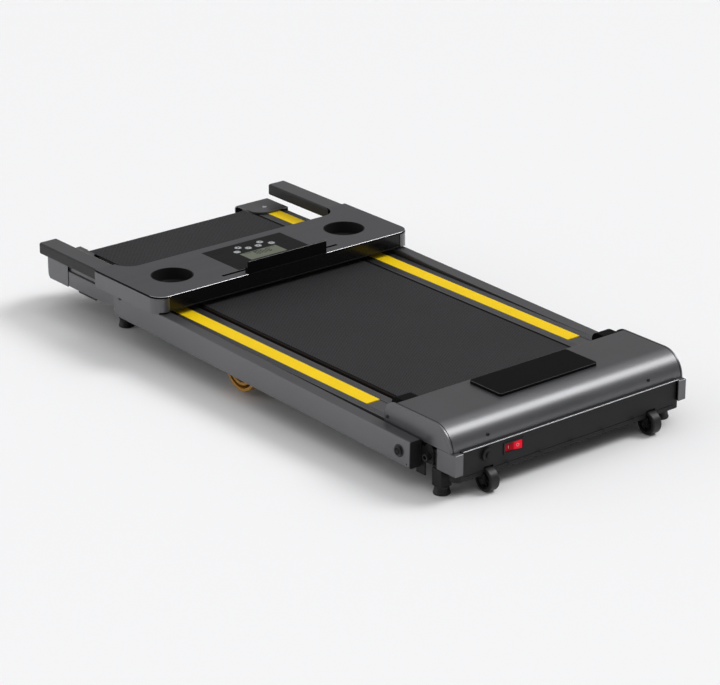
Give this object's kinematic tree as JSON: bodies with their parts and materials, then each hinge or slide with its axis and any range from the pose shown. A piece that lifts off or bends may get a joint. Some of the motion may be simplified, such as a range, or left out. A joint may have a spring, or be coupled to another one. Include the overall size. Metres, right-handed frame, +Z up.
{
  "type": "folding treadmill",
  "caption": "Low folding treadmill with side uprights lying along the deck, a level console with two cup holders, transport wheels and rubber feet.",
  "frame": {"origin": "middle of the footprint, on the floor", "axes": "+Z up, +Y from the motor hood to the rear roller, +X to the right hand of someone looking along +Y"},
  "size_m": [0.622, 1.264, 0.1657],
  "materials": {
    "graphite_metal": "metallic graphite paint, satin",
    "dark_metal": "black powder coat, satin",
    "black_plastic": "fine textured black",
    "gloss_black": "glossy black",
    "steel": "zinc plated",
    "rubber": "moulded",
    "orange_rubber": "soft elastomer",
    "belt": "embossed belt fabric",
    "board": "laminated board",
    "yellow_strip": "ribbed yellow",
    "red_switch": "translucent red",
    "circuit": "circuit board and parts",
    "screen_glass": "dark glass, opaque",
    "lcd": "grey-green display",
    "key_print": "pale print"
  },
  "bodies": {
    "base": {"base_pan": "dark_metal", "front_corners": "graphite_metal", "hood": "graphite_metal", "hood_covers": "graphite_metal", "rail_end_blocks": "black_plastic", "hood_panel": "gloss_black", "cover_screws": "steel", "rocker_bezel": "black_plastic", "breaker_body": "black_plastic", "frame_rails": "dark_metal", "cross_members": "dark_metal", "hinge_plates": "graphite_metal", "anchor_bolts": "steel", "pivot_bolts": "steel", "foot_blocks": "black_plastic", "foot_pads": "rubber", "bow_cushions": "orange_rubber", "wheel_axles": "steel", "deck_board": "board", "deck_cushions": "orange_rubber", "walking_belt": "belt", "roller_bearings": "steel", "roller_axles": "steel", "tension_bolts": "steel", "motor_case": "dark_metal", "drive_belt": "rubber", "controller": "circuit", "foot_rails": "graphite_metal", "grip_strips": "yellow_strip", "rear_caps": "black_plastic"},
    "upright_frame": {"uprights": "graphite_metal", "upright_bushes": "black_plastic", "upright_plugs": "black_plastic", "upright_forks": "black_plastic", "fork_screws": "steel", "hinge_pins": "steel"},
    "console": {"hinge_lugs": "steel", "console_top": "graphite_metal", "console_body": "gloss_black", "console_bottom": "dark_metal", "console_sides": "graphite_metal", "cup_liners": "black_plastic", "display_glass": "screen_glass", "lcd_panel": "lcd", "touch_icons": "key_print", "tablet_ledge": "black_plastic", "handlebar_cores": "dark_metal", "handlebar_grips": "graphite_metal"},
    "front_roller_body": {"front_roller": "steel", "roller_pulley": "steel"},
    "rear_roller_body": {"rear_roller": "steel"},
    "motor_shaft": {"motor_rotor": "steel", "motor_pulley": "steel"},
    "wheel_left": {"wheel_hub_left": "black_plastic", "wheel_tyre_left": "rubber"},
    "wheel_right": {"wheel_hub_right": "black_plastic", "wheel_tyre_right": "rubber"},
    "rocker_body": {"rocker": "red_switch"},
    "reset_button": {"breaker_button": "black_plastic"}
  },
  "joints": [
    {"name": "upright_fold", "type": "hinge", "parent": "base", "child": "upright_frame", "pos_m": [0, -0.5005, 0.067], "axis": [1, 0, 0], "range_deg": [0, 85]},
    {"name": "console_tilt", "type": "hinge", "parent": "upright_frame", "child": "console", "pos_m": [0, 0.33655, 0.08278], "axis": [1, 0, 0], "range_deg": [-85, 0]},
    {"name": "front_roller_spin", "type": "hinge", "parent": "base", "child": "front_roller_body", "pos_m": [0, -0.494, 0.0724], "axis": [1, 0, 0], "continuous": true},
    {"name": "rear_roller_spin", "type": "hinge", "parent": "base", "child": "rear_roller_body", "pos_m": [0, 0.59, 0.0724], "axis": [1, 0, 0], "continuous": true},
    {"name": "motor_spin", "type": "hinge", "parent": "base", "child": "motor_shaft", "pos_m": [0, -0.556, 0.084], "axis": [1, 0, 0], "continuous": true},
    {"name": "wheel_left_spin", "type": "hinge", "parent": "base", "child": "wheel_left", "pos_m": [-0.194, -0.61, 0.022], "axis": [1, 0, 0], "continuous": true},
    {"name": "wheel_right_spin", "type": "hinge", "parent": "base", "child": "wheel_right", "pos_m": [0.194, -0.61, 0.022], "axis": [1, 0, 0], "continuous": true},
    {"name": "power_rocker", "type": "hinge", "parent": "base", "child": "rocker_body", "pos_m": [-0.137, -0.604, 0.0685], "axis": [0, 0, 1], "range_deg": [0, 12]},
    {"name": "reset_press", "type": "slide", "parent": "base", "child": "reset_button", "axis": [0, 1, 0], "range_m": [0, 0.002], "stiffness_N_per_m": 800}
  ],
  "couplings": [
    {"joint": "console_tilt", "follows": "upright_fold", "ratio": -1},
    {"joint": "rear_roller_spin", "follows": "front_roller_spin", "ratio": 1},
    {"joint": "motor_spin", "follows": "front_roller_spin", "ratio": 2.7}
  ]
}
